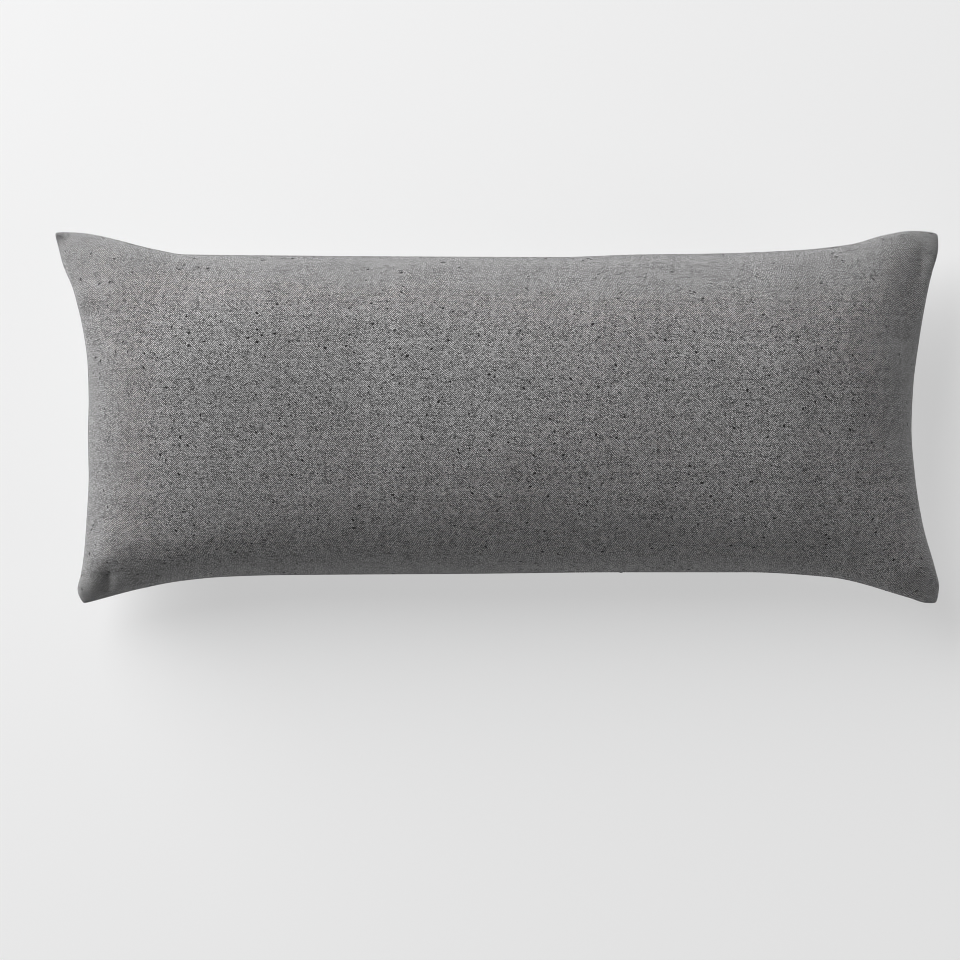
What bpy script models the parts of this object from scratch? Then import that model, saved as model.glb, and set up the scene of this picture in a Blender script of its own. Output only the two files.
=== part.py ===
"""A long filled cushion with a knife-edge seam, lying on its back.

Metres, +Z up. X runs along the cushion and Y across it. The origin is on the
surface that the cushion lies on, under the middle of its outline.
"""

from collections import namedtuple
import math

import bmesh
import bpy
from mathutils import Vector

# Size of the whole cushion
LENGTH = 0.876            # along X, over the furthest ears
DEPTH = 0.369             # along Y, over the furthest ears
SEAM_HEIGHT = 0.076       # the seam's mean height above the surface
FRONT_CROWN = 0.086       # how far the filling lifts the front above the seam
BACK_CROWN = 0.094        # how far the back would hang below the seam in the air
SEAM_THICKNESS = 0.0028   # the turned-in edges of both panels

# How the crown runs from seam to seam: a larger flatness keeps the middle
# level for longer, and a smaller steepness rises faster from the seam.
LENGTH_FLATNESS = 4.8
LENGTH_STEEPNESS = 0.57
DEPTH_FLATNESS = 2.5
DEPTH_STEEPNESS = 0.64
REST_SOFTNESS = 0.005     # height over which the back rounds into its flat rest

# The ears hold little filling
EAR_REACH = 0.060
EAR_THINNING = 0.45
EAR_SHARPNESS = 1.0       # how little the smoothing rounds the ears' tips, up to 1
LIFT_FADE = 3             # power at which an ear's lift fades along its two seams
RELIEF_FADE = 3.0         # how soon lumps and folds reach full strength off the seam

# Grid of the smooth cage, with cells crowded towards the seams
CELLS_ALONG = 32
CELLS_ACROSS = 16
CROWDING = 0.62
SMOOTHING_LEVELS = 1

# Corners of the outline, as shares of the length and depth from the middle,
# and how far each ear's tip stands above the mean height of the seam
Corner = namedtuple("Corner", "along across lift")
CORNERS = {
    "far_left": Corner(-0.500, 0.500, 0.004),
    "far_right": Corner(0.499, 0.497, -0.004),
    "near_left": Corner(-0.469, -0.500, -0.008),
    "near_right": Corner(0.498, -0.499, 0.002),
}

# Each side's seam is drawn in from the straight line between its two corners.
# A row is a place along that line, as a share of it, and the distance inwards.
Draw = namedtuple("Draw", "share inwards")
FAR_SIDE = (
    Draw(0.000, 0.0000),
    Draw(0.030, 0.0025),
    Draw(0.118, 0.0190),
    Draw(0.150, 0.0240),
    Draw(0.570, 0.0250),
    Draw(0.840, 0.0170),
    Draw(0.900, 0.0108),
    Draw(0.940, 0.0020),
    Draw(0.970, -0.0016),
    Draw(1.000, 0.0000),
)
NEAR_SIDE = (
    Draw(0.000, 0.0000),
    Draw(0.068, 0.0136),
    Draw(0.115, 0.0208),
    Draw(0.165, 0.0240),
    Draw(0.370, 0.0264),
    Draw(0.640, 0.0302),
    Draw(0.800, 0.0292),
    Draw(0.872, 0.0250),
    Draw(0.968, 0.0050),
    Draw(1.000, 0.0000),
)
LEFT_SIDE = (
    Draw(0.000, 0.0000),
    Draw(0.085, 0.0060),
    Draw(0.164, 0.0160),
    Draw(0.290, 0.0228),
    Draw(0.440, 0.0228),
    Draw(0.590, 0.0184),
    Draw(0.766, 0.0114),
    Draw(0.880, 0.0036),
    Draw(0.955, -0.0034),
    Draw(1.000, 0.0000),
)
RIGHT_SIDE = (
    Draw(0.000, 0.0000),
    Draw(0.120, 0.0066),
    Draw(0.290, 0.0188),
    Draw(0.420, 0.0252),
    Draw(0.530, 0.0274),
    Draw(0.655, 0.0242),
    Draw(0.785, 0.0160),
    Draw(0.915, 0.0034),
    Draw(0.965, -0.0010),
    Draw(1.000, 0.0000),
)

# Soft swellings of the filling, and hollows where the height is negative: the
# middle of each on the front, its height, and its reach along and across
Lump = namedtuple("Lump", "x y height reach_along reach_across")
LUMPS = (
    Lump(-0.290, 0.070, 0.0025, 0.090, 0.070),
    Lump(-0.100, -0.030, -0.0020, 0.100, 0.060),
    Lump(0.060, 0.050, 0.0022, 0.080, 0.080),
    Lump(0.190, -0.040, -0.0026, 0.070, 0.080),
    Lump(0.300, 0.030, 0.0024, 0.070, 0.070),
)

# Soft folds that run in from the ears and the left seam: a trough on the
# front from one point to another, its half width and its depth
Fold = namedtuple("Fold", "start_x start_y end_x end_y half_width depth")
FOLDS = (
    Fold(0.416, 0.172, 0.392, 0.082, 0.015, 0.0045),
    Fold(-0.392, -0.163, -0.372, -0.140, 0.013, 0.0045),
    Fold(-0.418, 0.108, -0.396, 0.106, 0.009, 0.0030),
    Fold(0.424, -0.170, 0.396, -0.140, 0.013, 0.0025),
    Fold(-0.422, 0.166, -0.390, 0.140, 0.012, 0.0020),
)

CLOTH_GREY = (0.205, 0.203, 0.204, 1.0)
CLOTH_ROUGHNESS = 0.95


def clear_scene():
    for existing in list(bpy.data.objects):
        bpy.data.objects.remove(existing, do_unlink=True)


def inward_draw(rows, share):
    """The inward draw at a share of the side, on a curve that never overshoots its rows."""
    slopes = [(b.inwards - a.inwards) / (b.share - a.share) for a, b in zip(rows, rows[1:])]

    def tangent(row):
        if row == 0 or row == len(slopes):
            return slopes[min(row, len(slopes) - 1)]
        before, after = slopes[row - 1], slopes[row]
        return 2 * before * after / (before + after) if before * after > 0 else 0.0

    first = max(row for row in range(len(slopes)) if row == 0 or rows[row].share <= share)
    low, high = rows[first], rows[first + 1]
    run = high.share - low.share
    t = (share - low.share) / run
    return (
        (1 + 2 * t) * (1 - t) ** 2 * low.inwards
        + t * (1 - t) ** 2 * run * tangent(first)
        + t * t * (3 - 2 * t) * high.inwards
        - t * t * (1 - t) * run * tangent(first + 1)
    )


def corner_point(name):
    corner = CORNERS[name]
    return Vector((corner.along * LENGTH, corner.across * DEPTH, corner.lift))


def seam_point(start, end, rows, share):
    """A point of the seam between two corners, given clockwise as seen from above."""
    first, last = corner_point(start), corner_point(end)
    run = last - first
    inwards = Vector((run.y, -run.x, 0.0)).normalized()
    lift = (1 - share) ** LIFT_FADE * first.z + share ** LIFT_FADE * last.z
    point = first.lerp(last, share) + inwards * inward_draw(rows, share)
    return Vector((point.x, point.y, lift))


def mirrored(rows):
    """The same side, read from its other corner."""
    return [Draw(1 - row.share, row.inwards) for row in reversed(rows)]


def seam_plane(along, across):
    """A point of the patch that the four seams span, from the near left corner."""
    far = seam_point("far_left", "far_right", FAR_SIDE, along)
    near = seam_point("near_right", "near_left", mirrored(NEAR_SIDE), 1 - along)
    left = seam_point("near_left", "far_left", mirrored(LEFT_SIDE), across)
    right = seam_point("far_right", "near_right", RIGHT_SIDE, 1 - across)
    corners = (
        corner_point("near_left") * (1 - along) * (1 - across)
        + corner_point("near_right") * along * (1 - across)
        + corner_point("far_left") * (1 - along) * across
        + corner_point("far_right") * along * across
    )
    return near.lerp(far, across) + left.lerp(right, along) - corners


def swell(share, flatness, steepness):
    """How full the cushion is between two seams, from 0 at either to 1 in the middle."""
    return max(0.0, 1 - abs(2 * share - 1) ** flatness) ** steepness


def filling(point, along, across):
    """How full the cushion is at a place, from 0 at the seams to 1 in the middle."""
    nearest_ear = min((point.xy - corner_point(name).xy).length for name in CORNERS)
    thinning = 1 - EAR_THINNING * math.exp(-((nearest_ear / EAR_REACH) ** 2))
    lengthways = swell(along, LENGTH_FLATNESS, LENGTH_STEEPNESS)
    crossways = swell(across, DEPTH_FLATNESS, DEPTH_STEEPNESS)
    return lengthways * crossways * thinning


def lump_height(x, y):
    return sum(
        lump.height
        * math.exp(-(((x - lump.x) / lump.reach_along) ** 2))
        * math.exp(-(((y - lump.y) / lump.reach_across) ** 2))
        for lump in LUMPS
    )


def fold_depth(x, y):
    """How deep the folds are at a place; each is a round trough with tapered ends."""
    total = 0.0
    for fold in FOLDS:
        start = Vector((fold.start_x, fold.start_y))
        run = Vector((fold.end_x, fold.end_y)) - start
        offset = Vector((x, y)) - start
        reached = min(max(offset.dot(run) / run.length_squared, 0.0), 1.0)
        aside = (offset - run * reached).length
        total += fold.depth * math.exp(-((aside / fold.half_width) ** 2))
    return total


def front_height(point, along, across):
    full = filling(point, along, across)
    relief = lump_height(point.x, point.y) - fold_depth(point.x, point.y)
    return SEAM_THICKNESS / 2 + FRONT_CROWN * full + relief * min(1.0, RELIEF_FADE * full)


def back_height(point, along, across):
    return -SEAM_THICKNESS / 2 - BACK_CROWN * filling(point, along, across)


def rested(height):
    """A height of the back above the surface, levelled where it would sink into it."""
    if height >= REST_SOFTNESS:
        return height
    if height <= -REST_SOFTNESS:
        return 0.0
    return (height + REST_SOFTNESS) ** 2 / (4 * REST_SOFTNESS)


def crowded(index, count):
    """A cell boundary's share of the way, with smaller cells near both ends."""
    even = index / count
    rounded = 0.5 - 0.5 * math.cos(math.pi * even)
    return even + CROWDING * (rounded - even)


def add_panel(cage, height_over_seam):
    """One panel of the cover as a grid, and its edges round the seam."""
    sharpness = cage.verts.layers.float.get("crease_vert") or cage.verts.layers.float.new("crease_vert")
    created = bmesh.ops.create_grid(
        cage, x_segments=CELLS_ALONG, y_segments=CELLS_ACROSS, size=0.5
    )["verts"]
    for vertex in created:
        if len(vertex.link_faces) == 1:
            vertex[sharpness] = EAR_SHARPNESS
        column = round((vertex.co.x + 0.5) * CELLS_ALONG)
        row = round((vertex.co.y + 0.5) * CELLS_ACROSS)
        along = crowded(column, CELLS_ALONG)
        across = crowded(row, CELLS_ACROSS)
        point = seam_plane(along, across)
        height = SEAM_HEIGHT + point.z + height_over_seam(point, along, across)
        vertex.co = (point.x, point.y, rested(height))
    return [edge for edge in cage.edges if edge.is_boundary and edge.verts[0] in set(created)]


def cushion_mesh():
    """Two crowned panels joined round the seam, as one closed cage."""
    cage = bmesh.new()
    seams = add_panel(cage, front_height)
    seams += add_panel(cage, back_height)
    bmesh.ops.bridge_loops(cage, edges=seams)
    bmesh.ops.recalc_face_normals(cage, faces=cage.faces)
    mesh = bpy.data.meshes.new("cushion")
    cage.to_mesh(mesh)
    cage.free()
    mesh.shade_smooth()
    return mesh


def cloth_material():
    material = bpy.data.materials.new("woven_cloth")
    material.use_nodes = True
    shader = material.node_tree.nodes["Principled BSDF"]
    shader.inputs["Base Color"].default_value = CLOTH_GREY
    shader.inputs["Roughness"].default_value = CLOTH_ROUGHNESS
    shader.inputs["Metallic"].default_value = 0.0
    return material


def evaluated_box(piece):
    """The lowest and highest corners of a piece with its modifiers."""
    bpy.context.view_layer.update()
    shaped = piece.evaluated_get(bpy.context.evaluated_depsgraph_get())
    places = [shaped.matrix_world @ vertex.co for vertex in shaped.data.vertices]
    low = Vector(min(place[axis] for place in places) for axis in range(3))
    high = Vector(max(place[axis] for place in places) for axis in range(3))
    return low, high


def fit_outline(piece):
    """Bring the smoothed cushion to its full length and depth, centred on the origin."""
    low, high = evaluated_box(piece)
    middle = (low + high) / 2
    along = LENGTH / (high.x - low.x)
    across = DEPTH / (high.y - low.y)
    for vertex in piece.data.vertices:
        vertex.co.x = (vertex.co.x - middle.x) * along
        vertex.co.y = (vertex.co.y - middle.y) * across


def build_cushion(collection):
    cushion = bpy.data.objects.new("cushion", cushion_mesh())
    collection.objects.link(cushion)
    cushion.data.materials.append(cloth_material())
    smoothing = cushion.modifiers.new("smoothing", "SUBSURF")
    smoothing.levels = SMOOTHING_LEVELS
    smoothing.render_levels = SMOOTHING_LEVELS
    fit_outline(cushion)
    return cushion


def main():
    clear_scene()
    collection = bpy.data.collections.new("long_cushion")
    bpy.context.scene.collection.children.link(collection)
    build_cushion(collection)


main()
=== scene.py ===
import math

import bpy
import numpy as np
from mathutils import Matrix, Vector


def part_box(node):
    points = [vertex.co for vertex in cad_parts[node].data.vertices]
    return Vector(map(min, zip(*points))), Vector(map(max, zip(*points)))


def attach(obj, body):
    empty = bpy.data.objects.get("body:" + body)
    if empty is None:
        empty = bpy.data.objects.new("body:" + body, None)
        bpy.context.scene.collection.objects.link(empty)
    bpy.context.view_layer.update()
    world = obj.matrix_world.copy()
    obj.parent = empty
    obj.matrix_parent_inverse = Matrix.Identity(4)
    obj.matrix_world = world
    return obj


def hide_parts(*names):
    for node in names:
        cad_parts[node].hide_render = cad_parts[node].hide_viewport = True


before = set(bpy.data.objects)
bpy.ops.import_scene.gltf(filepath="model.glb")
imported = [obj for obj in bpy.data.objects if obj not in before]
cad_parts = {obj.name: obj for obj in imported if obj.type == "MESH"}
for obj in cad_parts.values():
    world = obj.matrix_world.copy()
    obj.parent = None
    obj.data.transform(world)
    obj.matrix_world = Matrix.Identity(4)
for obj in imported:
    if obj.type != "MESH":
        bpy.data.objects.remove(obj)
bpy.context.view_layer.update()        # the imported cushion, in metres, lying on its back
solidLow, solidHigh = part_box("cushion")
scene = bpy.context.scene

cover = {
    "length": solidHigh.x - solidLow.x,
    "depth": solidHigh.y - solidLow.y,
    "fill": 0.85,
    "cellsAlong": 150,       # quads along each panel while the cover settles
    "cellsAcross": 66,
    "crowding": 0.62,        # how much the cells shrink towards the seam
    "seamHeight": 0.076,     # the seam's mean height above the floor
    "frontCrown": 0.0865,    # how far the filling lifts the front above the seam
    "backCrown": 0.094,      # how far the back would hang below the seam in the air
    "lengthFlatness": 4.8,   # how flat the middle is, and how steep the crown leaves the seam
    "lengthSteepness": 0.57,
    "depthFlatness": 2.5,
    "depthSteepness": 0.64,
    "restSoftness": 0.005,   # height over which the back rounds into its flat rest
    "earReach": 0.060,       # the ears hold less filling than the rest
    "liftFade": 3,           # how fast an ear's lift fades along the seams
    "reliefFade": 3.0,       # how fast the swellings and folds fade towards the seam
    "unrollPasses": 500,     # passes that find each point's place on the flat cloth
    "creaseLimit": 0.5,      # a crease goes no deeper than this share of the filling's height
    "tipRounding": 0.0028,   # how far a rounded tip falls short of a sharp one
}
# each ear: share of the length and depth, lift, curl of the tip, its reach, missing filling
ears = {
    "farLeft": (-0.502, 0.502, 0.004, -0.0160, 0.048, -0.15),
    "farRight": (0.501, 0.499, -0.004, 0.0000, 0.020, 0.30),
    "nearLeft": (-0.471, -0.502, -0.008, 0.0010, 0.014, -0.12),
    "nearRight": (0.500, -0.501, 0.002, -0.0070, 0.026, 0.10),
}
sides = {                    # share of the way between two ears, and how far the seam is drawn in there
    "far": ((0.000, 0.0000), (0.030, 0.0014), (0.050, 0.0044), (0.118, 0.0191), (0.150, 0.0236),
            (0.570, 0.0254), (0.660, 0.0228), (0.740, 0.0218), (0.840, 0.0182), (0.900, 0.0124),
            (0.943, 0.0022), (0.972, -0.0014), (1.000, 0.0000)),
    "near": ((0.000, 0.0000), (0.068, 0.0155), (0.115, 0.0232), (0.165, 0.0274), (0.230, 0.0292),
             (0.450, 0.0305), (0.630, 0.0320), (0.775, 0.0320), (0.872, 0.0272), (0.966, 0.0066),
             (0.986, 0.0012), (1.000, 0.0000)),
    "left": ((0.000, 0.0000), (0.085, 0.0062), (0.164, 0.0162), (0.290, 0.0236), (0.350, 0.0248),
             (0.440, 0.0236), (0.560, 0.0195), (0.660, 0.0174), (0.766, 0.0124), (0.880, 0.0057),
             (0.920, 0.0020), (0.965, -0.0028), (1.000, 0.0000)),
    "right": ((0.000, 0.0000), (0.040, 0.0004), (0.120, 0.0079), (0.174, 0.0122), (0.290, 0.0196),
              (0.420, 0.0256), (0.530, 0.0272), (0.655, 0.0237), (0.785, 0.0160), (0.915, 0.0024),
              (0.955, -0.0012), (1.000, 0.0000)),
}
lumps = (                    # swellings of the filling: x, y, height, reach along, reach across
    (-0.290, 0.070, 0.0025, 0.090, 0.070),
    (-0.100, -0.030, -0.0020, 0.100, 0.060),
    (0.060, 0.050, 0.0022, 0.080, 0.080),
    (0.190, -0.040, -0.0026, 0.070, 0.080),
    (0.300, 0.030, 0.0024, 0.070, 0.070),
    (-0.274, 0.066, 0.0055, 0.080, 0.063),
    (0.010, -0.030, 0.0050, 0.085, 0.053),
    (0.348, 0.125, -0.0030, 0.048, 0.045),
    (-0.408, 0.120, 0.0040, 0.016, 0.012),
    (-0.383, -0.132, 0.0040, 0.022, 0.020),
    (0.394, 0.100, -0.0020, 0.028, 0.032),
    (0.404, -0.154, 0.0040, 0.030, 0.014),
    (-0.320, -0.132, 0.0060, 0.060, 0.022),
    (-0.190, -0.118, 0.0055, 0.110, 0.026),
    (0.060, -0.122, 0.0030, 0.150, 0.026),
    (0.260, -0.126, 0.0025, 0.080, 0.026),
)
# soft troughs on the front: start x, y, end x, y, half width, depth (less than nothing for a ridge)
folds = (
    (0.416, 0.172, 0.392, 0.082, 0.0150, 0.0045),
    (-0.385, -0.173, -0.383, -0.158, 0.0095, 0.0058),
    (-0.416, 0.100, -0.396, 0.100, 0.0080, 0.0030),
    (0.424, -0.170, 0.396, -0.140, 0.0130, 0.0025),
    (-0.422, 0.166, -0.390, 0.140, 0.0120, 0.0020),
    (-0.406, -0.178, -0.400, -0.144, 0.0100, -0.0034),
)
creases = (                  # sharper hollows by the seam, laid out as the folds are
    (-0.386, -0.170, -0.384, -0.158, 0.0050, 0.0030),
    (0.422, 0.160, 0.404, 0.075, 0.0080, 0.0040),
    (0.392, 0.036, 0.398, 0.018, 0.0025, 0.0012),
    (-0.414, 0.103, -0.404, 0.102, 0.0045, 0.0030),
    (0.424, -0.176, 0.410, -0.162, 0.0080, 0.0030),
)
turnedTip = {                # the far left ear's very tip is turned up along a sharp fold
    "at": (-0.4150, 0.1835),
    "towards": (-0.51, 0.86),
    "rise": 0.50,
    "softness": 0.0012,
}
seam = {                     # the knife edge: two turned-in lips with the stitched groove between them
    "profile": ((0.00000, 0.00140), (0.00045, 0.00095), (0.00040, 0.00045), (-0.00070, 0.00000),
                (0.00040, -0.00045), (0.00045, -0.00095), (0.00000, -0.00140)),   # outwards, upwards
    "groove": 3,             # the row of the profile that the stitches lie in
    "puckerHeight": 0.00035,
    "puckerReach": 0.016,
    "stillWidth": 0.003,     # the puckers rise over this much beside the seam
    "backShift": 7,          # the back's puckers lie this many cells further along
    "phases": {"near": 0.3, "far": 1.1, "left": 1.9, "right": 2.6},
    "gathers": (             # pitch, share of the height, phase factor, wander, length it wanders over
        (0.0135, 0.45, 2.1, 1.7, 0.061),
        (0.0215, 0.35, 4.3, 1.3, 0.047),
        (0.0370, 0.20, 5.9, 0.0, 1.000),
    ),
}
settling = {                 # the short cloth simulation that fills the cover out
    "pressure": 4.0,
    "frames": 20,
    "quality": 6,
    "mass": 0.25,
    "stretchStiffness": 25,
    "shearStiffness": 8,
    "bendingStiffness": 0.5,
    "spareCloth": 0.002,     # the cloth is this share longer than the smooth shape, so it gathers
    "furthestMove": 0.002,
    "calmReach": 0.100,      # the ears, which hold little filling, keep still
    "broadPasses": 220,      # smoothing passes that take the broad swelling out again
}


def smoothRows(rows, share):
    # a smooth curve through the rows that never overshoots them
    at = np.array([row[0] for row in rows])
    draw = np.array([row[1] for row in rows])
    slopes = np.diff(draw) / np.diff(at)
    product = slopes[:-1] * slopes[1:]
    alike = product > 0
    inner = np.where(alike, 2 * product / np.where(alike, slopes[:-1] + slopes[1:], 1.0), 0.0)
    tangents = np.concatenate([slopes[:1], inner, slopes[-1:]])
    cell = np.clip(np.searchsorted(at, share, side="right") - 1, 0, len(slopes) - 1)
    run = at[cell + 1] - at[cell]
    t = (share - at[cell]) / run
    return (
        (1 + 2 * t) * (1 - t) ** 2 * draw[cell]
        + t * (1 - t) ** 2 * run * tangents[cell]
        + t * t * (3 - 2 * t) * draw[cell + 1]
        - t * t * (1 - t) * run * tangents[cell + 1]
    )


def mirrored(rows):
    # the same side, taken from its other end
    return [(1 - share, draw) for share, draw in reversed(rows)]


def earPoint(name):
    along, across, lift = ears[name][:3]
    return np.array([along * cover["length"], across * cover["depth"], lift])


def fromEar(points, name):
    # how far each point is from an ear's tip, as seen from above
    return np.linalg.norm(points[..., :2] - earPoint(name)[:2], axis=-1)


def seamLine(start, end, rows, share):
    # the seam between two ears, taken clockwise as seen from above
    first, last = earPoint(start), earPoint(end)
    run = last - first
    inwards = np.array([run[1], -run[0], 0.0]) / np.hypot(run[0], run[1])
    line = first + share[:, None] * run + smoothRows(rows, share)[:, None] * inwards
    line[:, 2] = (1 - share) ** cover["liftFade"] * first[2] + share ** cover["liftFade"] * last[2]
    return line


def seamPatch(along, across):
    # the patch that the four seams span, before the filling lifts it
    far = seamLine("farLeft", "farRight", sides["far"], along)[:, None]
    near = seamLine("nearRight", "nearLeft", mirrored(sides["near"]), 1 - along)[:, None]
    left = seamLine("nearLeft", "farLeft", mirrored(sides["left"]), across)[None]
    right = seamLine("farRight", "nearRight", sides["right"], 1 - across)[None]
    a, b = along[:, None, None], across[None, :, None]
    tips = (
        earPoint("nearLeft") * (1 - a) * (1 - b) + earPoint("nearRight") * a * (1 - b)
        + earPoint("farLeft") * (1 - a) * b + earPoint("farRight") * a * b
    )
    return near * (1 - b) + far * b + left * (1 - a) + right * a - tips


def roundedTips(patch):
    # pulls each ear's tip in a little, so that it isn't a sharp point
    for name in ears:
        tip = earPoint(name)[:2]
        away = np.sign(tip) / math.sqrt(2)
        short = (patch[..., :2] - tip) @ away
        patch[..., :2] -= (short + np.hypot(short, cover["tipRounding"]))[..., None] * away
    return patch


def crowded(count):
    # shares of the way across a panel, closer together near both seams
    even = np.linspace(0.0, 1.0, count + 1)
    return even + cover["crowding"] * (0.5 - 0.5 * np.cos(math.pi * even) - even)


def swell(share, flatness, steepness):
    # the crown's rise and fall across a panel
    return np.clip(1 - np.abs(2 * share - 1) ** flatness, 0.0, None) ** steepness


def fullness(patch, along, across):
    # 0 at the seams and 1 in the middle
    thinning = np.ones(patch.shape[:2])
    for name in ears:
        *_, missing = ears[name]
        thinning -= missing * np.exp(-((fromEar(patch, name) / cover["earReach"]) ** 2))
    lengthways = swell(along, cover["lengthFlatness"], cover["lengthSteepness"])
    crossways = swell(across, cover["depthFlatness"], cover["depthSteepness"])
    return lengthways[:, None] * crossways[None, :] * thinning


def lumpHeight(x, y):
    total = np.zeros_like(x)
    for middleX, middleY, height, reachAlong, reachAcross in lumps:
        along, across = (x - middleX) / reachAlong, (y - middleY) / reachAcross
        total += height * np.exp(-along ** 2 - across ** 2)
    return total


def troughs(rows, x, y):
    total = np.zeros_like(x)
    for startX, startY, endX, endY, halfWidth, depth in rows:
        runX, runY = endX - startX, endY - startY
        reached = ((x - startX) * runX + (y - startY) * runY) / (runX ** 2 + runY ** 2)
        reached = np.clip(reached, 0.0, 1.0)
        aside = np.hypot(x - startX - reached * runX, y - startY - reached * runY)
        total += depth * np.exp(-((aside / halfWidth) ** 2))
    return total


def tipCurl(patch):
    # the very tips turn up or down a little, both panels together
    total = np.zeros(patch.shape[:2])
    for name in ears:
        curl, reach = ears[name][3:5]
        total += curl * np.exp(-((fromEar(patch, name) / reach) ** 2))
    beyond = (patch[..., :2] - turnedTip["at"]) @ np.array(turnedTip["towards"])
    soft = turnedTip["softness"]
    total += turnedTip["rise"] * soft * np.logaddexp(0.0, beyond / soft)
    return total


def ripple(distance, phase):
    # gathers of three unlike lengths, so that no two puckers are the same
    total = np.zeros_like(distance)
    for pitch, share, factor, wander, wanderLength in seam["gathers"]:
        turn = 2 * math.pi * distance / pitch + factor * phase
        turn = turn + wander * np.sin(distance / wanderLength)
        total += share * np.sin(turn)
    return total


def puckers(x, y, along, across):
    # small gathers that run in from each seam and fade
    fromNear = across[None, :] * cover["depth"]
    fromFar = (1 - across)[None, :] * cover["depth"]
    fromLeft = along[:, None] * cover["length"]
    fromRight = (1 - along)[:, None] * cover["length"]

    def fading(distance, place, side):
        return np.exp(-distance / seam["puckerReach"]) * ripple(place, seam["phases"][side])

    total = fading(fromNear, x, "near") + fading(fromFar, x, "far")
    total += fading(fromLeft, y, "left") + fading(fromRight, y, "right")
    nearest = np.minimum(np.minimum(fromNear, fromFar), np.minimum(fromLeft, fromRight))
    return seam["puckerHeight"] * total * np.clip(nearest / seam["stillWidth"], 0.0, 1.0)


def rested(height):
    # the back rounds softly into the flat patch that it lies on
    soft = cover["restSoftness"]
    return np.where(height >= soft, height, np.clip(height + soft, 0.0, None) ** 2 / (4 * soft))


def smoothPanels(cellsAlong, cellsAcross):
    # both panels as grids of points: the front, and the back as it would hang in the air
    along, across = crowded(cellsAlong), crowded(cellsAcross)
    patch = roundedTips(seamPatch(along, across))
    full = fullness(patch, along, across)
    x, y = patch[..., 0], patch[..., 1]
    lip = seam["profile"][0][1]
    relief = (lumpHeight(x, y) - troughs(folds, x, y)) * np.clip(cover["reliefFade"] * full, 0.0, 1.0)
    relief -= np.minimum(troughs(creases, x, y), cover["creaseLimit"] * cover["frontCrown"] * full)
    level = cover["seamHeight"] + patch[..., 2] + tipCurl(patch)
    front, back = patch.copy(), patch.copy()
    front[..., 2] = level + lip + cover["frontCrown"] * full + relief
    back[..., 2] = level - lip - cover["backCrown"] * full
    return along, across, front, back


def finer(values):
    # twice the cells each way, on a smooth curve through the old points
    for axis in (0, 1):
        v = np.moveaxis(values, axis, 0)
        padded = np.concatenate([2 * v[:1] - v[1:2], v, 2 * v[-1:] - v[-2:-1]])
        between = (9 * (padded[1:-2] + padded[2:-1]) - padded[:-3] - padded[3:]) / 16
        made = np.empty((2 * len(v) - 1,) + v.shape[1:])
        made[0::2], made[1::2] = v, between
        values = np.moveaxis(made, 0, axis)
    return values


def clothPlace(panel, turned):
    # where each point lies on the flat cloth, in metres from the panel's middle: the yarns keep their
    # direction as seen from above, and every step along the surface keeps its true length
    steps = [np.diff(panel, axis=axis) for axis in (0, 1)]
    flat = [step[..., :2] * (np.linalg.norm(step, axis=-1)
                             / np.linalg.norm(step[..., :2], axis=-1))[..., None]
            for step in steps]

    def gathered(first, second):
        total = np.zeros(panel.shape[:2] + (2,))
        total[1:] += first
        total[:-1] -= first
        total[:, 1:] += second
        total[:, :-1] -= second
        return total

    def pull(place):
        return gathered(np.diff(place, axis=0), np.diff(place, axis=1))

    place = panel[..., :2].copy()
    rest = gathered(*flat) - pull(place)
    search, size = rest.copy(), (rest ** 2).sum()
    for _ in range(cover["unrollPasses"]):
        pulled = pull(search)
        step = size / (search * pulled).sum()
        place += step * search
        rest -= step * pulled
        size, last = (rest ** 2).sum(), size
        search = rest + size / last * search
    place -= place[panel.shape[0] // 2, panel.shape[1] // 2]
    return place * (-1, 1) if turned else place


def rim(grid):
    # the border of a grid, from the near left ear and anticlockwise as seen from above
    return np.concatenate([grid[:-1, 0], grid[-1, :-1], grid[:0:-1, -1], grid[0, :0:-1]])


def rimOutwards(points):
    # the direction out of the outline at each point of the rim
    ahead = np.roll(points, -1, axis=0) - np.roll(points, 1, axis=0)
    out = np.stack([ahead[:, 1], -ahead[:, 0], np.zeros(len(points))], axis=1)
    return out / np.linalg.norm(out, axis=1)[:, None]


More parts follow.
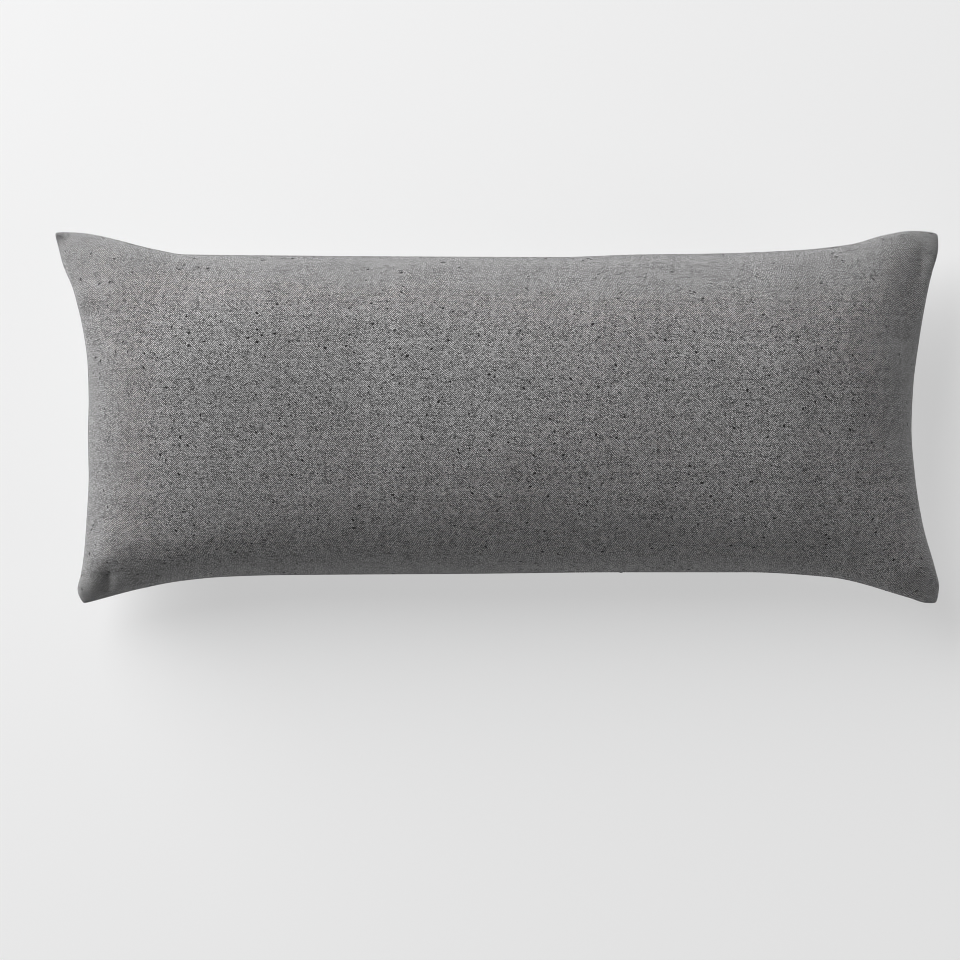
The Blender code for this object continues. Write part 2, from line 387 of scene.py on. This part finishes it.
def coverMesh(name, front, back):
    # the two panels and the seam between them as one closed mesh, and the points of the seam's groove
    cellsAlong, cellsAcross = front.shape[0] - 1, front.shape[1] - 1
    count = front.shape[0] * front.shape[1]
    index = np.arange(count).reshape(front.shape[:2])
    flatFront, flatBack = clothPlace(front, False), clothPlace(back, True)
    upper, lower = rim(front), rim(back)
    middle = (upper + lower) / 2
    outwards = rimOutwards(middle)
    flatOut = rimOutwards(np.concatenate([rim(flatFront), np.zeros((len(middle), 1))], axis=1))[:, :2]
    profile = np.array(seam["profile"])
    rows = [middle + outwards * out + (0, 0, up) for out, up in profile[1:-1]]
    points = np.concatenate([front.reshape(-1, 3), back.reshape(-1, 3), *rows])
    loops = [rim(index)]
    loops += [2 * count + row * len(middle) + np.arange(len(middle)) for row in range(len(rows))]
    loops += [count + rim(index)]
    fromEdge = np.concatenate([[0.0], np.cumsum(np.hypot(*np.diff(profile, axis=0).T))])

    def corners(values, flip):
        cells = [values[:-1, :-1], values[1:, :-1], values[1:, 1:], values[:-1, 1:]]
        cells = cells[::-1] if flip else cells
        return np.stack(cells, axis=2).reshape(cellsAlong * cellsAcross, 4, *values.shape[2:])

    faces = [corners(index, False), corners(count + index, True)]
    places = [corners(flatFront, False), corners(flatBack, True)]
    groove = seam["groove"]
    for row in range(len(loops) - 1):
        above, below = loops[row], loops[row + 1]
        faces.append(np.stack([above, below, np.roll(below, -1), np.roll(above, -1)], axis=1))
        if row < groove:
            edge, out, reach = rim(flatFront), flatOut, fromEdge
        else:
            edge, out, reach = rim(flatBack), flatOut * (-1, 1), fromEdge[-1] - fromEdge
        high, low = edge + out * reach[row], edge + out * reach[row + 1]
        nextHigh, nextLow = np.roll(high, -1, axis=0), np.roll(low, -1, axis=0)
        places.append(np.stack([high, low, nextLow, nextHigh], axis=1))
    faces, places = np.concatenate(faces), np.concatenate(places)
    mesh = bpy.data.meshes.new(name)
    mesh.from_pydata(points.tolist(), [], faces.tolist())
    mesh.uv_layers.new(name="flatCloth").data.foreach_set("uv", places.astype(np.float32).ravel())
    mesh.shade_smooth()
    return mesh, rows[groove - 1]


def newPiece(name, mesh):
    piece = bpy.data.objects.new(name, mesh)
    scene.collection.objects.link(piece)
    return piece


def meshPoints(mesh):
    points = np.empty(len(mesh.vertices) * 3, np.float32)
    mesh.vertices.foreach_get("co", points)
    return points.reshape(-1, 3).astype(float)


def broadPart(moves):
    # what is left of the moves after many passes of averaging over the grid
    broad = moves.copy()
    for _ in range(settling["broadPasses"]):
        inner = broad[1:-1, 1:-1]
        around = broad[:-2, 1:-1] + broad[2:, 1:-1] + broad[1:-1, :-2] + broad[1:-1, 2:]
        broad[1:-1, 1:-1] = 0.5 * inner + 0.125 * around
    return broad


def settledMoves(front, back):
    # fills a copy of the cover under pressure and returns how far each point of both panels moves
    restedBack = back.copy()
    restedBack[..., 2] = rested(back[..., 2])
    mesh, _ = coverMesh("settlingCover", front, restedBack)
    piece = newPiece("settlingCover", mesh)
    before = meshPoints(mesh)
    count = front.shape[0] * front.shape[1]
    held = piece.vertex_groups.new(name="seamLine")
    index = np.arange(count).reshape(front.shape[:2])
    border = rim(index)
    held.add([int(i) for i in np.concatenate([border, count + border])], 1.0, "REPLACE")
    held.add(list(range(2 * count, len(before))), 1.0, "REPLACE")
    cloth = piece.modifiers.new("settle", "CLOTH")
    cloth.settings.quality = settling["quality"]
    cloth.settings.mass = settling["mass"]
    cloth.settings.tension_stiffness = settling["stretchStiffness"]
    cloth.settings.compression_stiffness = settling["stretchStiffness"]
    cloth.settings.shear_stiffness = settling["shearStiffness"]
    cloth.settings.bending_stiffness = settling["bendingStiffness"]
    cloth.settings.use_pressure = True
    cloth.settings.uniform_pressure_force = settling["pressure"]
    cloth.settings.shrink_min = -settling["spareCloth"]
    cloth.settings.vertex_group_mass = "seamLine"
    cloth.settings.effector_weights.gravity = 0
    cloth.collision_settings.use_collision = False
    cloth.collision_settings.use_self_collision = False
    cloth.point_cache.frame_start, cloth.point_cache.frame_end = 1, settling["frames"]
    for step in range(1, settling["frames"] + 1):
        scene.frame_set(step)
    settled = piece.evaluated_get(bpy.context.evaluated_depsgraph_get())
    moves = meshPoints(settled.data) - before
    scene.frame_set(1)
    bpy.data.objects.remove(piece)
    bpy.data.meshes.remove(mesh)
    print("cloth settled, furthest move", round(float(np.abs(moves).max()) * 1000, 2), "mm")
    lively = np.ones(front.shape[:2])
    for name in ears:
        lively *= 1 - np.exp(-((fromEar(front, name) / settling["calmReach"]) ** 4))
    panels = []
    for first in (0, count):
        panel = moves[first:first + count].reshape(*front.shape)
        panel = panel - broadPart(panel)
        size = np.linalg.norm(panel, axis=-1)
        kept = lively * np.minimum(1.0, settling["furthestMove"] / np.maximum(size, 1e-9))
        panels.append(panel * kept[..., None])
    furthest = float(max(np.abs(panel).max() for panel in panels))
    print("kept moves up to", round(furthest * 1000, 2), "mm")
    return panels


def makeCover():
    moves = None
    _, _, front, back = smoothPanels(cover["cellsAlong"], cover["cellsAcross"])
    moves = settledMoves(front, back)
    along, across, front, back = smoothPanels(2 * cover["cellsAlong"], 2 * cover["cellsAcross"])
    if moves:
        front += finer(moves[0])
        back += finer(moves[1])
    gathers = puckers(front[..., 0], front[..., 1], along, across)
    front[..., 2] += gathers
    back[..., 2] += np.roll(gathers, seam["backShift"], axis=0) * (gathers != 0)
    back[..., 2] = rested(back[..., 2])
    mesh, groove = coverMesh("cushionCover", front, back)
    points = meshPoints(mesh)
    low, high = points.min(axis=0), points.max(axis=0)
    scale = np.array([cover["length"] / (high[0] - low[0]), cover["depth"] / (high[1] - low[1]), 1.0])
    shift = np.array([solidLow.x - low[0] * scale[0], solidLow.y - low[1] * scale[1], 0.0])
    mesh.vertices.foreach_set("co", (points * scale + shift).astype(np.float32).ravel())
    mesh.update()
    print("cover made:", len(mesh.polygons), "faces")
    return newPiece("cushionCover", mesh), groove * scale + shift


weave = {
    "pitch": 0.000518,       # from one yarn to the next
    "warpColour": (0.078, 0.077, 0.078),
    "weftColour": (0.482, 0.478, 0.480),
    "waver": 4.0,            # how far the yarns wander, in yarns
    "waverScale": 90.0,
    "yarnSpread": 0.32,      # how unlike the yarns are
    "floatSpread": 1.70,     # how unlike the short lengths on top are
    "drift": 0.90,           # how much one yarn changes along its length
    "driftLength": 12.0,     # in yarns
    "darkestYarn": 0.05,     # no yarn is darker than this share of its colour
    "mottle": 2.40,          # how cloudy the dark warp is
    "mottleScale": 150.0,
    "darkestMottle": 0.1,    # no cloud is darker than this
    "band": 0.18,            # how unlike whole groups of warp yarns are
    "bandScales": (22.0, 120.0),     # wide groups and narrow ones
    "shadeBetweenYarns": 0.55,    # painted shade: the colour is darkened between the yarns, where the gaps would lie in shade
    # painted highlight: the colour is lightened on the yarns' tops
    "lightOnYarnTops": 1.1,
    "archPower": 0.5,        # below 1, a float rises fast at its ends and lies flat between them
    "roundPower": 0.6,
    "bump": 0.35,
    "bumpDistance": 0.00012,
    "roughness": 0.93,
    "specular": 0.25,
    "sheen": 0.28,
    "sheenRoughness": 0.55,
}


def term(tree, socket, value):
    # joins a socket to another socket, or sets its own value
    if isinstance(value, bpy.types.NodeSocket):
        tree.links.new(value, socket)
    else:
        socket.default_value = value


def calc(tree, operation, *values):
    node = tree.nodes.new("ShaderNodeMath")
    node.operation = operation
    for socket, value in zip(node.inputs, values):
        term(tree, socket, value)
    return node.outputs[0]


def blended(tree, share, first, second):
    node = tree.nodes.new("ShaderNodeMix")
    node.data_type = "FLOAT"
    for number, value in ((0, share), (2, first), (3, second)):     # 1 is the share of a vector mix
        term(tree, node.inputs[number], value)
    return node.outputs[0]


def vectorOf(tree, x, y, z=0.0):
    node = tree.nodes.new("ShaderNodeCombineXYZ")
    for socket, value in zip(node.inputs, (x, y, z)):
        term(tree, socket, value)
    return node.outputs[0]


def randomAt(tree, vector):
    node = tree.nodes.new("ShaderNodeTexWhiteNoise")
    node.noise_dimensions = "2D"
    term(tree, node.inputs["Vector"], vector)
    return node.outputs["Value"]


def noiseAt(tree, vector, scale, detail=1.0):
    node = tree.nodes.new("ShaderNodeTexNoise")
    node.noise_dimensions = "2D"
    term(tree, node.inputs["Vector"], vector)
    node.inputs["Scale"].default_value = scale
    node.inputs["Detail"].default_value = detail
    return node.outputs["Fac"]


def newGroup(name, inputs, outputs):
    group = bpy.data.node_groups.new(name, "ShaderNodeTree")
    for label, kind, value in inputs:
        socket = group.interface.new_socket(name=label, in_out="INPUT", socket_type=kind)
        if value is not None:
            socket.default_value = value
    for label, kind in outputs:
        group.interface.new_socket(name=label, in_out="OUTPUT", socket_type=kind)
    return group, group.nodes.new("NodeGroupInput").outputs, group.nodes.new("NodeGroupOutput").inputs


def yarnGroup():
    # how one set of yarns varies: every yarn, every float, and slow changes along a yarn
    group, given, put = newGroup(
        "yarnTone",
        [("Yarn", "NodeSocketFloat", 0.0), ("Float", "NodeSocketFloat", 0.0),
         ("Along", "NodeSocketFloat", 0.0), ("Yarn Spread", "NodeSocketFloat", 0.1),
         ("Float Spread", "NodeSocketFloat", 0.3), ("Drift", "NodeSocketFloat", 0.2),
         ("Drift Length", "NodeSocketFloat", 12.0)],
        [("Tone", "NodeSocketFloat")],
    )
    ownRow = 11.5            # lies between two whole floats, so its draws are its own
    apart = 7.37             # keeps the drift of two neighbouring yarns unlike

    def around(value, spread):
        return calc(group, "MULTIPLY", calc(group, "SUBTRACT", value, 0.5), spread)

    perYarn = around(randomAt(group, vectorOf(group, given["Yarn"], ownRow)), given["Yarn Spread"])
    crossing = vectorOf(group, given["Yarn"], given["Float"])
    perFloat = around(randomAt(group, crossing), given["Float Spread"])
    place = vectorOf(group, calc(group, "MULTIPLY", given["Yarn"], apart),
                     calc(group, "DIVIDE", given["Along"], given["Drift Length"]))
    drift = around(noiseAt(group, place, 1.0, 2.0), given["Drift"])
    total = calc(group, "ADD", calc(group, "ADD", perYarn, perFloat), calc(group, "ADD", drift, 1.0))
    group.links.new(calc(group, "MAXIMUM", total, weave["darkestYarn"]), put["Tone"])
    return group


def placeGroup(tree, group, values):
    node = tree.nodes.new("ShaderNodeGroup")
    node.node_tree = group
    for label, value in values.items():
        term(tree, node.inputs[label], value)
    return node.outputs


def twillGroup(yarns):
    # a two-and-two twill: each yarn passes over two others and under two, one step over in every row
    group, given, put = newGroup(
        "twillWeave",
        [("Cloth", "NodeSocketVector", None), ("Pitch", "NodeSocketFloat", 0.0005),
         ("Waver", "NodeSocketFloat", 0.2), ("Yarn Spread", "NodeSocketFloat", 0.1),
         ("Float Spread", "NodeSocketFloat", 0.3), ("Drift", "NodeSocketFloat", 0.2),
         ("Mottle", "NodeSocketFloat", 0.3), ("Band", "NodeSocketFloat", 0.1)],
        [("Warp", "NodeSocketFloat"), ("Tone", "NodeSocketFloat"), ("Height", "NodeSocketFloat")],
    )
    split = group.nodes.new("ShaderNodeSeparateXYZ")
    group.links.new(given["Cloth"], split.inputs[0])
    waver = []
    for shift in (3.1, 8.7):     # two places in the noise, one for each set of yarns
        moved = group.nodes.new("ShaderNodeVectorMath")
        group.links.new(given["Cloth"], moved.inputs[0])
        moved.inputs[1].default_value = (shift, shift, 0.0)
        swing = calc(group, "SUBTRACT", noiseAt(group, moved.outputs[0], weave["waverScale"]), 0.5)
        waver.append(calc(group, "MULTIPLY", swing, given["Waver"]))
    u = calc(group, "ADD", calc(group, "DIVIDE", split.outputs[0], given["Pitch"]), waver[0])
    v = calc(group, "ADD", calc(group, "DIVIDE", split.outputs[1], given["Pitch"]), waver[1])
    warpYarn, weftYarn = calc(group, "FLOOR", u), calc(group, "FLOOR", v)
    acrossWarp = calc(group, "SUBTRACT", u, warpYarn)
    acrossWeft = calc(group, "SUBTRACT", v, weftYarn)
    # the pattern repeats every four yarns, and each float lies over two
    step = calc(group, "FLOORED_MODULO", calc(group, "ADD", warpYarn, weftYarn), 4.0)
    warpUp = calc(group, "LESS_THAN", step, 1.5)
    half = calc(group, "FLOORED_MODULO", step, 2.0)      # which half of a float this crossing is
    alongFloat = calc(group, "ADD", half, blended(group, warpUp, acrossWarp, acrossWeft))
    alongFloat = calc(group, "MULTIPLY", alongFloat, 0.5)
    acrossYarn = blended(group, warpUp, acrossWeft, acrossWarp)
    arch = calc(group, "SINE", calc(group, "MULTIPLY", alongFloat, math.pi))
    rounded = calc(group, "SINE", calc(group, "MULTIPLY", acrossYarn, math.pi))
    arch = calc(group, "POWER", calc(group, "MAXIMUM", arch, 0.0), weave["archPower"])
    rounded = calc(group, "POWER", calc(group, "MAXIMUM", rounded, 0.0), weave["roundPower"])
    height = calc(group, "MULTIPLY", arch, rounded)
    spreads = {label: given[label] for label in ("Yarn Spread", "Float Spread", "Drift")}
    spreads["Drift Length"] = weave["driftLength"]
    weftFirst = 4000.0       # numbers the weft yarns apart from the warp yarns
    warpTone = placeGroup(group, yarns, {
        "Yarn": warpYarn, "Float": calc(group, "SUBTRACT", weftYarn, half), "Along": v, **spreads})
    weftTone = placeGroup(group, yarns, {
        "Yarn": calc(group, "ADD", weftYarn, weftFirst),
        "Float": calc(group, "SUBTRACT", warpYarn, half), "Along": u, **spreads})
    # whole groups of warp yarns are a little lighter or darker
    swings = []
    for scale, row in zip(weave["bandScales"], (0.5, 2.5)):
        noise = noiseAt(group, vectorOf(group, split.outputs[0], row), scale)
        swings.append(calc(group, "SUBTRACT", noise, 0.5))
    band = calc(group, "MULTIPLY", calc(group, "ADD", *swings), given["Band"])
    # the dark warp is spun unevenly, so it shows as darker and paler clouds
    cloud = calc(group, "SUBTRACT", noiseAt(group, given["Cloth"], weave["mottleScale"], 3.0), 0.5)
    clouded = calc(group, "ADD", calc(group, "MULTIPLY", cloud, given["Mottle"]), 1.0)
    clouded = calc(group, "MAXIMUM", clouded, weave["darkestMottle"])
    cloudedWarp = calc(group, "MULTIPLY", warpTone["Tone"], clouded)
    tone = blended(group, warpUp, weftTone["Tone"], cloudedWarp)
    tone = calc(group, "MULTIPLY", tone, calc(group, "ADD", band, 1.0))
    # painted shade and highlight: the tone is darkened where the weave is low between yarns and
    # lightened on their tops
    shade = blended(group, height, weave["shadeBetweenYarns"], weave["lightOnYarnTops"])
    tone = calc(group, "MULTIPLY", tone, shade)
    group.links.new(warpUp, put["Warp"])
    group.links.new(tone, put["Tone"])
    group.links.new(height, put["Height"])
    return group


def newMaterial(name):
    material = bpy.data.materials.new(name)
    material.use_nodes = True
    return material, material.node_tree, material.node_tree.nodes["Principled BSDF"].inputs


def clothMaterial(twill):
    material, tree, shader = newMaterial("melangeTwill")
    flat = tree.nodes.new("ShaderNodeUVMap")
    flat.uv_map = "flatCloth"
    woven = placeGroup(tree, twill, {
        "Cloth": flat.outputs[0], "Pitch": weave["pitch"], "Waver": weave["waver"],
        "Yarn Spread": weave["yarnSpread"], "Float Spread": weave["floatSpread"],
        "Drift": weave["drift"], "Mottle": weave["mottle"], "Band": weave["band"]})
    yarn = tree.nodes.new("ShaderNodeMix")
    yarn.data_type = "RGBA"
    tree.links.new(woven["Warp"], yarn.inputs["Factor"])
    yarn.inputs[6].default_value = (*weave["weftColour"], 1.0)      # the mix node's two colours
    yarn.inputs[7].default_value = (*weave["warpColour"], 1.0)
    toned = tree.nodes.new("ShaderNodeVectorMath")
    toned.operation = "SCALE"
    tree.links.new(yarn.outputs[2], toned.inputs[0])
    tree.links.new(woven["Tone"], toned.inputs["Scale"])
    tree.links.new(toned.outputs[0], shader["Base Color"])
    bump = tree.nodes.new("ShaderNodeBump")
    bump.inputs["Strength"].default_value = weave["bump"]
    bump.inputs["Distance"].default_value = weave["bumpDistance"]
    tree.links.new(woven["Height"], bump.inputs["Height"])
    tree.links.new(bump.outputs[0], shader["Normal"])
    shader["Roughness"].default_value = weave["roughness"]
    shader["Specular IOR Level"].default_value = weave["specular"]
    shader["Sheen Weight"].default_value = weave["sheen"]
    shader["Sheen Roughness"].default_value = weave["sheenRoughness"]
    return material


fibre = {                    # the finish that the thread and the knots share
    "fleckScale": 1800.0,
    "darkFrom": 0.35,        # the noise's level where the dark fleck ends and the pale one starts
    "paleFrom": 0.65,
    "roughness": 0.95,
    "specular": 0.2,
    "sheen": 0.1,
}


def fibreMaterial(name, colour, change):
    # spun fibre with a fine fleck in its colour
    material, tree, shader = newMaterial(name)
    place = tree.nodes.new("ShaderNodeTexCoord")
    fleck = tree.nodes.new("ShaderNodeTexNoise")
    fleck.inputs["Scale"].default_value = fibre["fleckScale"]
    tree.links.new(place.outputs["Object"], fleck.inputs["Vector"])
    ramp = tree.nodes.new("ShaderNodeValToRGB")
    dark, pale = ramp.color_ramp.elements
    dark.position, pale.position = fibre["darkFrom"], fibre["paleFrom"]
    dark.color = (*[c * (1 - change) for c in colour], 1.0)
    pale.color = (*[c * (1 + change) for c in colour], 1.0)
    tree.links.new(fleck.outputs["Fac"], ramp.inputs["Fac"])
    tree.links.new(ramp.outputs["Color"], shader["Base Color"])
    shader["Roughness"].default_value = fibre["roughness"]
    shader["Specular IOR Level"].default_value = fibre["specular"]
    shader["Sheen Weight"].default_value = fibre["sheen"]
    return material


def newTree(name, inputs):
    # an empty geometry tree with named sizes
    tree = bpy.data.node_groups.new(name, "GeometryNodeTree")
    tree.is_modifier = True
    tree.interface.new_socket(name="Geometry", in_out="OUTPUT", socket_type="NodeSocketGeometry")
    tree.interface.new_socket(name="Geometry", in_out="INPUT", socket_type="NodeSocketGeometry")
    for label, kind in inputs:
        tree.interface.new_socket(name=label, in_out="INPUT", socket_type=kind)
    return tree, tree.nodes.new("NodeGroupInput").outputs, tree.nodes.new("NodeGroupOutput").inputs


def treeNode(tree, kind, links=(), **values):
    # a socket is given by its name, or by its number where several share a name
    node = tree.nodes.new(kind)
    for label, value in values.items():
        setattr(node, label, value)
    for socket, value in links:
        term(tree, node.inputs[socket], value)
    return node


def finishTree(tree, instances, material, put):
    # makes the instances real and gives them their material
    realized = treeNode(tree, "GeometryNodeRealizeInstances", [("Geometry", instances)])
    smooth = treeNode(tree, "GeometryNodeSetShadeSmooth", [("Geometry", realized.outputs[0])])
    painted = treeNode(tree, "GeometryNodeSetMaterial", [
        ("Geometry", smooth.outputs[0]), ("Material", material)])
    tree.links.new(painted.outputs[0], put[0])


def runTree(name, source, tree, values):
    # runs the tree on a copy of the source and keeps the result as a plain mesh
    carrier = newPiece(name + "Source", source.copy())
    modifier = carrier.modifiers.new(name, "NODES")
    modifier.node_group = tree
    for item in tree.interface.items_tree:
        if item.item_type == "SOCKET" and item.in_out == "INPUT" and item.name in values:
            modifier[item.identifier] = values[item.name]
    bpy.context.view_layer.update()
    shaped = carrier.evaluated_get(bpy.context.evaluated_depsgraph_get())
    mesh = bpy.data.meshes.new_from_object(shaped)
    mesh.name = name
    bpy.data.objects.remove(carrier)
    print(name, "made:", len(mesh.polygons), "faces")
    return newPiece(name, mesh)


stitching = {
    "spacing": 0.0032,       # from one stitch to the next
    "length": 0.0026,
    "threadRadius": 0.00022,
    "segments": 6,
    "rings": 4,
    "colour": (0.10, 0.10, 0.10),
    "fleck": 0.15,
}


def makeStitches(groove):
    # machine stitches along the groove between the two lips
    tree, given, put = newTree("seamStitches", [
        ("Spacing", "NodeSocketFloat"), ("Stitch Length", "NodeSocketFloat"),
        ("Thread Radius", "NodeSocketFloat"), ("Thread", "NodeSocketMaterial")])
    path = treeNode(tree, "GeometryNodeMeshToCurve", [("Mesh", given["Geometry"])])
    even = treeNode(tree, "GeometryNodeResampleCurve", [
        ("Curve", path.outputs[0]), ("Length", given["Spacing"])], mode="LENGTH")
    tangent = treeNode(tree, "GeometryNodeInputTangent")
    turned = treeNode(tree, "FunctionNodeAlignRotationToVector", [
        ("Vector", tangent.outputs[0])], axis="X")
    size = treeNode(tree, "ShaderNodeCombineXYZ", [
        ("X", given["Stitch Length"]), ("Y", given["Thread Radius"]), ("Z", given["Thread Radius"])])
    thread = treeNode(tree, "GeometryNodeMeshUVSphere", [
        ("Segments", stitching["segments"]), ("Rings", stitching["rings"]), ("Radius", 1.0)])
    placed = treeNode(tree, "GeometryNodeInstanceOnPoints", [
        ("Points", even.outputs[0]), ("Instance", thread.outputs[0]),
        ("Rotation", turned.outputs[0]), ("Scale", size.outputs[0])])
    finishTree(tree, placed.outputs[0], given["Thread"], put)
    line = bpy.data.meshes.new("grooveLine")
    count = len(groove)
    line.from_pydata(groove.tolist(), [(i, (i + 1) % count) for i in range(count)], [])
    return runTree("seamStitches", line, tree, {
        "Spacing": stitching["spacing"], "Stitch Length": stitching["length"] / 2,
        "Thread Radius": stitching["threadRadius"],
        "Thread": fibreMaterial("seamThread", stitching["colour"], stitching["fleck"])})


slubs = {
    "density": 3500.0,       # for each square metre
    "smallest": (0.00050, 0.00040, 0.00010),
    "largest": (0.00190, 0.00120, 0.00026),
    "rarity": 2.2,           # large ones are rarer than small ones
    "seed": 23,
    "turn": 0.6,             # they turn up to this far either way from the yarn
    "turnSeed": 5,
    "clearHeight": 0.001,    # none lie lower than this, under the flat rest
    "segments": 8,
    "rings": 4,
    "colour": (0.020, 0.019, 0.019),
    "fleck": 0.3,
}


def makeSlubs(piece):
    # dark knots of fibre that the yarns carry, lying in the face of the cloth
    tree, given, put = newTree("coverSlubs", [
        ("Density", "NodeSocketFloat"), ("Smallest", "NodeSocketVector"),
        ("Largest", "NodeSocketVector"), ("Rarity", "NodeSocketFloat"), ("Seed", "NodeSocketInt"),
        ("Fibre", "NodeSocketMaterial")])
    place = treeNode(tree, "GeometryNodeInputPosition")
    split = treeNode(tree, "ShaderNodeSeparateXYZ", [(0, place.outputs[0])])
    clear = treeNode(tree, "FunctionNodeCompare", [
        ("A", split.outputs["Z"]), ("B", slubs["clearHeight"])], operation="GREATER_THAN")
    spread = treeNode(tree, "GeometryNodeDistributePointsOnFaces", [
        ("Mesh", given["Geometry"]), ("Selection", clear.outputs[0]), ("Density", given["Density"]),
        ("Seed", given["Seed"])])
    chance = treeNode(tree, "FunctionNodeRandomValue", [("Seed", given["Seed"])], data_type="FLOAT")
    rare = treeNode(tree, "ShaderNodeMath", [
        (0, chance.outputs[1]), (1, given["Rarity"])], operation="POWER")
    size = treeNode(tree, "ShaderNodeMix", [
        ("Factor", rare.outputs[0]), (4, given["Smallest"]), (5, given["Largest"])], data_type="VECTOR")
    spin = treeNode(tree, "FunctionNodeRandomValue", [
        (2, -slubs["turn"]), (3, slubs["turn"]), ("Seed", slubs["turnSeed"])], data_type="FLOAT")
    euler = treeNode(tree, "ShaderNodeCombineXYZ", [("Z", spin.outputs[1])])
    turned = treeNode(tree, "FunctionNodeRotateRotation", [
        ("Rotation", spread.outputs["Rotation"]), ("Rotate By", euler.outputs[0])],
        rotation_space="LOCAL")
    knot = treeNode(tree, "GeometryNodeMeshUVSphere", [
        ("Segments", slubs["segments"]), ("Rings", slubs["rings"]), ("Radius", 1.0)])
    placed = treeNode(tree, "GeometryNodeInstanceOnPoints", [
        ("Points", spread.outputs["Points"]), ("Instance", knot.outputs[0]),
        ("Rotation", turned.outputs[0]), ("Scale", size.outputs[1])])
    finishTree(tree, placed.outputs[0], given["Fibre"], put)
    return runTree("coverSlubs", piece.data, tree, {
        "Density": slubs["density"], "Smallest": slubs["smallest"], "Largest": slubs["largest"],
        "Rarity": slubs["rarity"], "Seed": slubs["seed"],
        "Fibre": fibreMaterial("darkFibre", slubs["colour"], slubs["fleck"])})


studio = {
    "floorSize": 30.0,
    "floorHeight": -0.0004,  # just under the cushion, so that the two don't meet
    "floorColour": (0.430, 0.431, 0.432),
    "floorGlow": 0.500,      # the floor is lit from below as well, so its shadow stays pale
    "skyStrength": 0.066,
    # azimuth from +X towards +Y and elevation in degrees, distance, size, power
    "lamps": {
        "softKey": (135.0, 34.0, 4.5, 4.5, 289.0),
        "paleFill": (-10.0, 18.0, 2.2, 0.6, 5.2),
    },
    "lookAt": (-0.0168, -0.0624),
    "cameraHeight": 3.0,     # above the seam
    "span": 0.9504,          # what the view's width takes in at the seam's height
    "sensorWidth": 36.0,
    "furthestSeen": 30.0,
    "filterWidth": 1.0,      # sharp enough for the twill's fine lines
}


def makeStudio():
    bpy.ops.mesh.primitive_plane_add(size=studio["floorSize"], location=(0, 0, studio["floorHeight"]))
    floor = bpy.context.object
    floor.name = "studioFloor"
    material, _, shader = newMaterial("paintedBoard")
    shader["Base Color"].default_value = (*studio["floorColour"], 1.0)
    shader["Roughness"].default_value = 1.0
    shader["Specular IOR Level"].default_value = 0.0
    shader["Emission Color"].default_value = (1.0, 1.0, 1.0, 1.0)
    shader["Emission Strength"].default_value = studio["floorGlow"]
    floor.data.materials.append(material)
    for name, (azimuth, elevation, distance, size, power) in studio["lamps"].items():
        turn, rise = math.radians(azimuth), math.radians(elevation)
        level = math.cos(rise)
        towards = Vector((math.cos(turn) * level, math.sin(turn) * level, math.sin(rise)))
        light = bpy.data.lights.new(name, "AREA")
        light.shape = "DISK"
        light.size = size
        light.energy = power
        lamp = newPiece(name, light)
        lamp.location = towards * distance
        lamp.rotation_euler = towards.to_track_quat("Z", "Y").to_euler()
        lamp.visible_camera = False
    world = bpy.data.worlds.new("paleRoom")
    world.use_nodes = True
    sky = world.node_tree.nodes["Background"].inputs
    sky["Color"].default_value = (1.0, 1.0, 1.0, 1.0)
    sky["Strength"].default_value = studio["skyStrength"]
    scene.world = world
    lens = bpy.data.cameras.new("overhead")
    lens.sensor_width = studio["sensorWidth"]
    lens.lens = lens.sensor_width * studio["cameraHeight"] / studio["span"]
    lens.clip_end = studio["furthestSeen"]
    camera = newPiece("overhead", lens)
    camera.location = (*studio["lookAt"], cover["seamHeight"] + studio["cameraHeight"])
    scene.camera = camera
    scene.view_settings.view_transform = "Standard"
    scene.cycles.filter_width = studio["filterWidth"]
    print("studio ready")


makeStudio()
cushionCover, grooveLine = makeCover()
cushionCover.data.materials.append(clothMaterial(twillGroup(yarnGroup())))
seamStitches = makeStitches(grooveLine)
coverSlubs = makeSlubs(cushionCover)

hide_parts("cushion")
for piece in (cushionCover, seamStitches, coverSlubs):
    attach(piece, "root")
